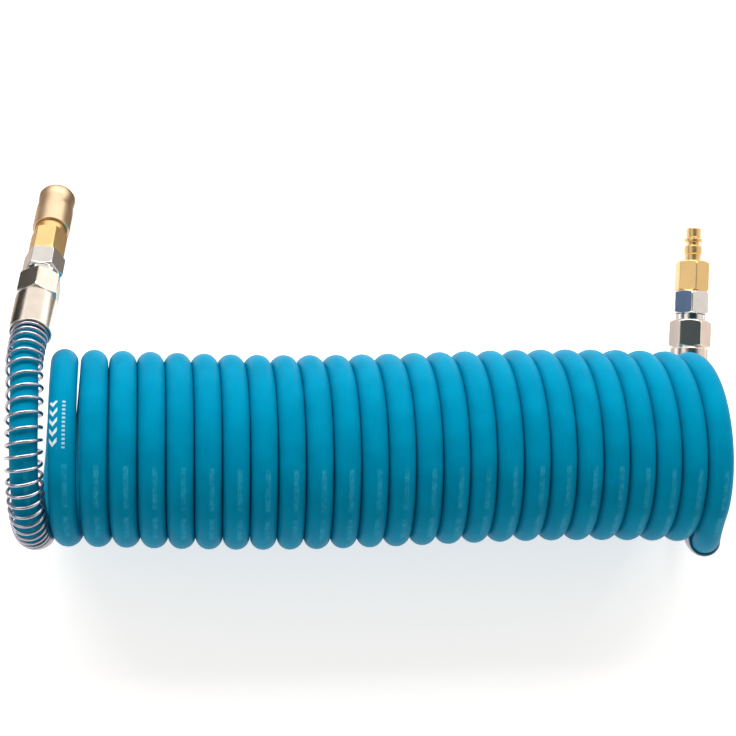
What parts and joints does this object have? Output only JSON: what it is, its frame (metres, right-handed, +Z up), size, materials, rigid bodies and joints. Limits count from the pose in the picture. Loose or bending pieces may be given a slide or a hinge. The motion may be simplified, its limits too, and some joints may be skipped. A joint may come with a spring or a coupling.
{
  "type": "coiled air hose",
  "caption": "Coiled plastic air hose with spring-guarded swivel ends, a sleeve-release quick coupler at one end and a plug at the other.",
  "frame": {"origin": "on the floor, under the middle of the whole hose as it lies", "axes": "+X along the coil's axis from the coupler end to the plug end, +Y the way both end fittings point, +Z up from the floor"},
  "size_m": [0.4549, 0.2414, 0.1227],
  "materials": {
    "hose": "satin blue polyurethane, slightly translucent",
    "plated_nut": "plated, satin on the skirt and bright on the flats",
    "plated_body": "bright plated",
    "brass": "machined brass",
    "brass_sleeve": "satin turned brass",
    "spring_steel": "bright drawn wire",
    "hardened_steel": "polished",
    "seal_rubber": "matt black"
  },
  "bodies": {
    "hose": {"hose_coil": "hose", "hose_left_end": "hose", "hose_right_end": "hose", "bend_spring_left": "spring_steel", "union_nut_left": "plated_nut", "clamp_ring_left": "brass", "hose_tail_left": "plated_body", "swivel_seal_left": "seal_rubber", "retaining_ring_left": "hardened_steel", "bend_spring_right": "spring_steel", "union_nut_right": "plated_nut", "clamp_ring_right": "brass", "hose_tail_right": "plated_body", "swivel_seal_right": "seal_rubber", "retaining_ring_right": "hardened_steel"},
    "coupler": {"swivel_body_left": "plated_body", "thread_seal_left": "seal_rubber", "coupler_back": "brass", "coupler_body": "brass", "plug_seal": "seal_rubber", "sleeve_stop_ring": "hardened_steel", "sleeve_spring": "hardened_steel", "valve_spring": "hardened_steel"},
    "sleeve": {"coupler_sleeve": "brass_sleeve"},
    "valve": {"valve_poppet": "brass", "valve_seal": "seal_rubber"},
    "plug": {"swivel_body_right": "plated_body", "thread_seal_right": "seal_rubber", "plug": "brass"},
    "ball_1": {"ball_1": "hardened_steel"},
    "ball_2": {"ball_2": "hardened_steel"},
    "ball_3": {"ball_3": "hardened_steel"},
    "ball_4": {"ball_4": "hardened_steel"}
  },
  "joints": [
    {"name": "coupler_swivel", "type": "hinge", "parent": "hose", "child": "coupler", "pos_m": [-0.20877, 0.06153, 0.0489], "axis": [0.0946, 0.793, -0.6018], "continuous": true},
    {"name": "sleeve_slide", "type": "slide", "parent": "coupler", "child": "sleeve", "axis": [-0.0946, -0.793, 0.6018], "range_m": [0, 0.0045], "stiffness_N_per_m": 1500, "springref_m": -0.006, "deforming": ["sleeve_spring"]},
    {"name": "valve_slide", "type": "slide", "parent": "coupler", "child": "valve", "axis": [-0.0946, -0.793, 0.6018], "range_m": [0, 0.004], "stiffness_N_per_m": 600, "springref_m": -0.005, "deforming": ["valve_spring"]},
    {"name": "plug_swivel", "type": "hinge", "parent": "hose", "child": "plug", "pos_m": [0.21475, 0.04471, 0.01355], "axis": [0.0628, 0.998, 0], "continuous": true},
    {"name": "ball_1_slide", "type": "slide", "parent": "coupler", "child": "ball_1", "axis": [0.6517, -0.5063, -0.5647], "range_m": [0, 0.00105]},
    {"name": "ball_2_slide", "type": "slide", "parent": "coupler", "child": "ball_2", "axis": [-0.7525, -0.3388, -0.5647], "range_m": [0, 0.00105]},
    {"name": "ball_3_slide", "type": "slide", "parent": "coupler", "child": "ball_3", "axis": [-0.6517, 0.5063, 0.5647], "range_m": [0, 0.00105]},
    {"name": "ball_4_slide", "type": "slide", "parent": "coupler", "child": "ball_4", "axis": [0.7525, 0.3388, 0.5647], "range_m": [0, 0.00105]}
  ],
  "couplings": [
    {"joint": "ball_1_slide", "follows": "sleeve_slide", "ratio": 0.23333},
    {"joint": "ball_2_slide", "follows": "sleeve_slide", "ratio": 0.23333},
    {"joint": "ball_3_slide", "follows": "sleeve_slide", "ratio": 0.23333},
    {"joint": "ball_4_slide", "follows": "sleeve_slide", "ratio": 0.23333}
  ]
}
